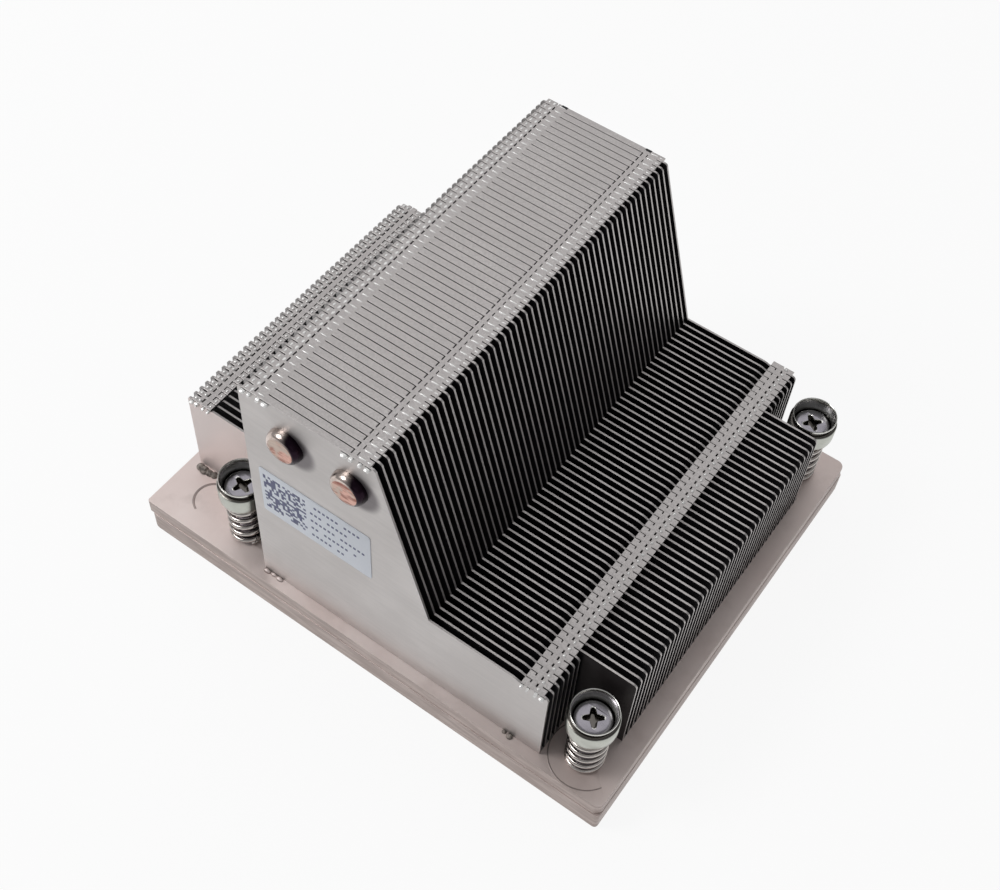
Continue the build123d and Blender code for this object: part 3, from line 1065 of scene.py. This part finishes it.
# The rows of dots: how many each has, where the first starts, the steps between them, and a dot's size
DOTS = (12, 9, 13, 11, 8)
DOTS_LEFT, DOTS_TOP = 11.3, 2.45
DOT_STEP, DOT_ROW = 0.95, 2.3
DOT_WIDTH, DOT_HEIGHT, DOT_CORNER = 0.6, 0.62, 0.15


def cell_is_bare(row, column):
    """A fixed scatter, made by a formula, so that the square of cells spells nothing."""
    return math.sin(12.99 * row + 78.23 * column) * 4375.85 % 1.0 > 0.52


def label():
    """A matt film with a square of plain cells and rows of dots."""
    right, top = LABEL_LEFT + LABEL_WIDTH, LABEL_FOOT + LABEL_HEIGHT
    form = Form()
    outline = rounded_box(LABEL_LEFT, right, LABEL_FOOT, top, LABEL_CORNER, 5)
    form.plate([outline], upright(FRONT_FIN), LABEL_THICK)
    settle(form.made("label_sheet", [FILM], bevel=0.03), "heat_sink", "label", "label")
    marks = []
    for row in range(CELLS_HIGH):
        for column in range(CELLS_WIDE):
            if not cell_is_bare(row, column):
                a, b = LABEL_LEFT + CELLS_LEFT + column * CELL, LABEL_FOOT + CELLS_FOOT + row * CELL
                marks.append(box(a, a + CELL, b, b + CELL))
    for row, count in enumerate(DOTS):
        b = top - DOTS_TOP - DOT_ROW * row
        for i in range(count):
            if (row * 5 + i * 3) % 7:
                a = LABEL_LEFT + DOTS_LEFT + DOT_STEP * i
                marks.append(rounded_box(a, a + DOT_WIDTH, b, b + DOT_HEIGHT, DOT_CORNER, 3))
    print_form = Form()
    for mark in marks:
        print_form.plate([mark], upright(FRONT_FIN - LABEL_THICK), PRINT_THICK)
    settle(print_form.made("label_print", [INK]), "heat_sink", "label")


label()


# ---- Sprung screws

SPINS = {"front_left": -0.335, "front_right": 0.62, "back_left": 0.3, "back_right": 0.79}

# The cup's section as radius and height, from its bore round its outside and rim back to the head's seat
CUP_PROFILE = [
    (SHANK_RADIUS + SHANK_ROOM, CUP_FLOOR + 0.1),
    (SHANK_RADIUS + SHANK_ROOM + 0.1, CUP_FLOOR),
    (CUP_RADIUS - 1.15, CUP_FLOOR),
    (CUP_RADIUS - 0.80, CUP_FLOOR + 0.08),
    (CUP_RADIUS - 0.46, CUP_FLOOR + 0.28),
    (CUP_RADIUS - 0.20, CUP_FLOOR + 0.60),
    (CUP_RADIUS - 0.06, CUP_FLOOR + 1.0),
    (CUP_RADIUS, CUP_FLOOR + 1.5),
    (CUP_RADIUS, CUP_RIM - 1.80),
    (CUP_RADIUS - 0.10, CUP_RIM - 1.66),
    (CUP_RADIUS - 0.60, CUP_RIM - 1.62),
    (CUP_RADIUS - 0.62, CUP_RIM - 0.50),
    (CUP_RADIUS - 0.42, CUP_RIM - 0.46),
    (CUP_RADIUS - 0.34, CUP_RIM - 0.38),
    (CUP_RADIUS - 0.34, CUP_RIM - 0.16),
    (CUP_RADIUS - 0.38, CUP_RIM - 0.04),
    (CUP_RADIUS - 0.46, CUP_RIM),
    (CUP_RADIUS - 0.56, CUP_RIM - 0.05),
    (CUP_RADIUS - 0.62, CUP_RIM - 0.20),
    (CUP_RADIUS - 0.76, CUP_RIM - 0.9),
    (CUP_RADIUS - 1.04, HEAD_TOP - 0.3),
    (CUP_RADIUS - 1.06, HEAD_SEAT + 0.08),
    (CUP_RADIUS - 1.2, HEAD_SEAT),
    (SHANK_RADIUS + SHANK_ROOM, HEAD_SEAT),
]
# The second and third material of a cup or screw: painted shade and painted highlight. The cup's groove and bore are
# painted dark as shade, the ring between them painted bright as a highlight
SHADE_PAINT, HIGHLIGHT_PAINT = 1, 2
CUP_STRIPES = {side: SHADE_PAINT for side in (9, 10, 20, 21, 22)} | {side: HIGHLIGHT_PAINT for side in range(11, 19)}
CUP_SIDES = 72

# The thread: the rise of a turn, and a turn's points as steps in from the shank's side and up
THREAD_RISE = 0.7
THREAD_START = 0.45
THREAD_TURN = ((0.0, 0.05), (0.0, 0.15), (0.32, 0.45))
TIP_CHAMFER, TIP_STEP = 0.35, 0.02
# The head's rounded upper edge, as steps in and down, and the flat inside it
HEAD_EDGE = ((0.0, 0.95), (0.07, 0.62), (0.22, 0.36), (0.44, 0.18), (0.70, 0.08))
HEAD_FOOT = 0.15
HEAD_FLAT_IN, HEAD_FLAT_DOWN = 1.0, 0.02
HEAD_SIDES = 56
# The cross recess: its reach, the width of an arm, the place of its inner corners as a share of that width, and its
# walls as a share of its size and a depth
CROSS_REACH, CROSS_WIDTH = 2.2, 0.98
CROSS_INNER = 0.72
CROSS_STEPS = 4
RECESS_LIP = ((1.0, 0.0), (0.90, 0.10))
RECESS_WALL = ((0.90, 0.10), (0.76, 0.8), (0.60, 1.3))

# The spring: steps in a turn, sides of the wire, and how close its end turns lie, in wires
COIL_STEPS = 32
WIRE_SIDES = 12
CLOSE_WOUND = 0.98
SPRING_SPIN = 2.2

# The clip: its radius and thickness, the angles where it starts and ends, how far its inner edge is drawn back from
# them, and how deep and how wide in steps the waves of that edge are
CLIP_RADIUS = 3.7
CLIP_THICK = 0.6
CLIP_FROM, CLIP_TO, CLIP_BACK = 118, 422, 8
WAVE_DEPTH, WAVE_STEPS = 0.45, 13


def cross():
    """The outline of a cross recess, anticlockwise, with rounded ends."""
    arm = arc((CROSS_REACH - CROSS_WIDTH / 2, 0), CROSS_WIDTH / 2, -90, 90, CROSS_STEPS)
    arm.append((CROSS_WIDTH * CROSS_INNER, CROSS_WIDTH * CROSS_INNER))
    return [p for quarter in range(4) for p in turned(arm, math.radians(90 * quarter))]


def cup(place, centre):
    """The turned cup that a screw and its spring sit in."""
    form = Form()
    form.lathe(CUP_PROFILE, centre, CUP_SIDES, CUP_STRIPES)
    piece = form.made(f"turned_cup_{place}", [CUP_METAL, SHADE_NICKEL, HIGHLIGHT_NICKEL], smooth=50)
    settle(piece, f"cup_{place}", "cup", f"screw_cup_{place}")


def screw_profile():
    """The screw's radius and height, from its tip up to the edge of its head's flat top."""
    z = SHANK_TIP + THREAD_START
    profile = [(0.001, SHANK_TIP), (SHANK_RADIUS - TIP_CHAMFER, SHANK_TIP), (SHANK_RADIUS - TIP_STEP, z)]
    while z < LOWER_PLATE - THREAD_RISE:
        profile += [(SHANK_RADIUS - inward, z + up) for inward, up in THREAD_TURN]
        z += THREAD_RISE
    profile += [(SHANK_RADIUS, z + 0.1), (SHANK_RADIUS, HEAD_SEAT)]
    profile += [(HEAD_RADIUS - HEAD_FOOT, HEAD_SEAT), (HEAD_RADIUS, HEAD_SEAT + HEAD_FOOT)]
    profile += [(HEAD_RADIUS - inward, HEAD_TOP - down) for inward, down in HEAD_EDGE]
    return profile + [(HEAD_RADIUS - HEAD_FLAT_IN, HEAD_TOP - HEAD_FLAT_DOWN)]


def screw(place, centre, spin):
    """A pan head with a cross recess, and a threaded shank."""
    x, y = centre
    form = Form()
    rings = [[(x + a, y + b, z) for a, b in circle((0, 0), r, HEAD_SIDES)] for r, z in screw_profile()]
    form.rings(rings, caps=(True, False))
    rim = circle((0, 0), HEAD_RADIUS - HEAD_FLAT_IN, HEAD_SIDES)
    recess = turned(cross(), spin)
    corners = [(x + a, y + b, HEAD_TOP - HEAD_FLAT_DOWN) for a, b in rim]
    corners += [(x + a, y + b, HEAD_TOP) for a, b in recess]
    order = list(range(len(rim))) + list(reversed(range(len(rim), len(corners))))
    loops = [[Vector((a, b, 0)) for a, b in loop] for loop in (rim, recess[::-1])]
    form.add(corners, [tuple(order[i] for i in tri) for tri in tessellate_polygon(loops)])
    # The recess's lip takes the painted highlight, and its walls the painted shade.
    for walls, caps, paint in ((RECESS_LIP, (False, False), HIGHLIGHT_PAINT), (RECESS_WALL, (False, True), SHADE_PAINT)):
        rings = [[(x + a * share, y + b * share, HEAD_TOP - depth) for a, b in recess] for share, depth in walls]
        form.rings(rings, caps=caps, paint=paint)
    piece = form.made(f"cross_screw_{place}", [SCREW_METAL, SHADE_NICKEL, HIGHLIGHT_NICKEL])
    settle(piece, f"screw_{place}", "screw", f"screw_{place}")


def spring(place, centre, start):
    """A coil spring with closed ends."""
    bottom, top = BASE_TOP + WIRE, CUP_FLOOR - WIRE
    closed = 2 * WIRE * CLOSE_WOUND
    open_rise = (top - bottom - 2 * closed) / (COILS - 2)
    rings = []
    for step in range(COILS * COIL_STEPS + 1):
        turns = step / COIL_STEPS
        if turns <= 1:
            z = bottom + closed * turns * turns
        elif turns >= COILS - 1:
            z = top - closed * (COILS - turns) ** 2
        else:
            z = bottom + closed + open_rise * (turns - 1)
        angle = 2 * math.pi * turns + start
        out = (math.cos(angle), math.sin(angle))
        rings.append([
            (centre[0] + out[0] * (SPRING_RADIUS + a), centre[1] + out[1] * (SPRING_RADIUS + a), z + b)
            for a, b in circle((0, 0), WIRE, WIRE_SIDES)
        ])
    form = Form()
    form.rings(rings)
    piece = form.made(f"coil_{place}", [WIRE_METAL], smooth=60)
    settle(piece, "heat_sink", "spring", f"screw_spring_{place}")
    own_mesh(piece)


def clip(place, centre):
    """The open spring clip on the shank, in its pocket under the base."""
    x, y = centre
    outer = arc((0, 0), CLIP_RADIUS, CLIP_FROM, CLIP_TO, 30)
    inner = []
    for i, (a, b) in enumerate(arc((0, 0), SHANK_RADIUS, CLIP_TO - CLIP_BACK, CLIP_FROM + CLIP_BACK, 26)):
        swell = 1.0 + WAVE_DEPTH * max(0.0, math.sin(math.radians(i * 360 / WAVE_STEPS))) ** 3
        inner.append((a * swell, b * swell))
    form = Form()
    form.plate([[(x + a, y + b) for a, b in outer + inner]], level(LOWER_PLATE - CLIP_THICK), CLIP_THICK)
    piece = form.made(f"spring_clip_{place}", [CLIP_METAL], bevel=0.06)
    settle(piece, f"screw_{place}", "clip", f"screw_clip_{place}")


for place, centre in SCREWS.items():
    cup(place, centre)
    screw(place, centre, SPINS[place])
    spring(place, centre, SPRING_SPIN * SPINS[place])
    clip(place, centre)


# ---- Stage, light and camera

# Sizes and places from here on are in metres, and powers in watts.
FLOOR_SIZE = 24.0
FLOOR_DEPTH = 0.0001
FLOOR_GLOW = 0.9
SKY_TONE, SKY_STRENGTH = (0.97, 0.98, 1.0), 0.32
BACKDROP_TONE = (0.96, 0.96, 0.96)

# Square soft lamps: place, side and power. All are aimed at the same point low in the part.
LAMPS = {
    "key": ((-0.45, -0.32, 0.60), 0.28, 2.1),
    "overhead": ((-0.25, 0.40, 0.75), 0.8, 1.6),
    "fill": ((0.55, -0.45, 0.35), 0.4, 0.15),
}
LAMP_AIM = (0, 0, 0.03)


def floor():
    """A plain pale floor that shows white to the eye and to reflections, and keeps a soft shadow."""
    bpy.ops.mesh.primitive_plane_add(size=FLOOR_SIZE, location=(0, 0, -FLOOR_DEPTH))
    plane = bpy.context.object
    plane.name = "floor"
    paint = Paint("pale_floor", roughness=0.9)
    paint.set("Base Color", (0.93, 0.93, 0.93))
    path = paint.node("ShaderNodeLightPath")
    seen = Field(paint, path.outputs["Is Camera Ray"]) + Field(paint, path.outputs["Is Glossy Ray"])
    glow = paint.node("ShaderNodeEmission", None, {"Color": (1, 1, 1, 1), "Strength": 1.0})
    shaders = {0: seen * FLOOR_GLOW, 1: paint.shader.outputs[0], 2: glow.outputs[0]}
    mix = paint.node("ShaderNodeMixShader", None, shaders)
    paint.join(mix.outputs[0], paint.tree.nodes["Material Output"].inputs["Surface"])
    plane.data.materials.append(paint.material)


def sky():
    """An even pale light from all sides, which the camera sees as a white backdrop."""
    world = bpy.data.worlds.new("studio")
    world.use_nodes = True
    nodes = Nodes(world.node_tree)
    light = nodes.tree.nodes["Background"]
    nodes.join(opaque(SKY_TONE), light.inputs["Color"])
    nodes.join(SKY_STRENGTH, light.inputs["Strength"])
    white = nodes.node("ShaderNodeBackground", None, {"Color": opaque(BACKDROP_TONE)})
    seen = nodes.node("ShaderNodeLightPath").outputs["Is Camera Ray"]
    mix = nodes.node("ShaderNodeMixShader", None, {0: seen, 1: light.outputs[0], 2: white.outputs[0]})
    nodes.join(mix.outputs[0], nodes.tree.nodes["World Output"].inputs["Surface"])
    bpy.context.scene.world = world


def lamp(name, place, side, power):
    light = bpy.data.lights.new(name, "AREA")
    light.shape = "SQUARE"
    light.size = side
    light.energy = power
    thing = bpy.data.objects.new(name, light)
    thing.location = Vector(place)
    thing.rotation_euler = (Vector(LAMP_AIM) - Vector(place)).to_track_quat("-Z", "Y").to_euler()
    bpy.context.scene.collection.objects.link(thing)


def camera():
    """The photograph's viewing angle, for a picture 1000 wide and 890 high."""
    lens = bpy.data.cameras.new("camera")
    lens.sensor_fit = "HORIZONTAL"
    lens.sensor_width = 36.0
    lens.lens = 52.5
    lens.clip_end = 20
    eye = bpy.data.objects.new("camera", lens)
    right = Vector((0.81324, 0.57985, 0.04916))
    up = Vector((-0.49551, 0.6457, 0.58098))
    back = Vector((0.30514, -0.49684, 0.81243))
    turn = Matrix((right, up, back)).transposed().to_4x4()
    eye.matrix_world = Matrix.Translation(Vector((0.08044, -0.14427, 0.25583))) @ turn
    bpy.context.scene.collection.objects.link(eye)
    bpy.context.scene.camera = eye


floor()
sky()
for name, (place, side, power) in LAMPS.items():
    lamp(name, place, side, power)
camera()
bpy.context.scene.view_settings.view_transform = "Standard"
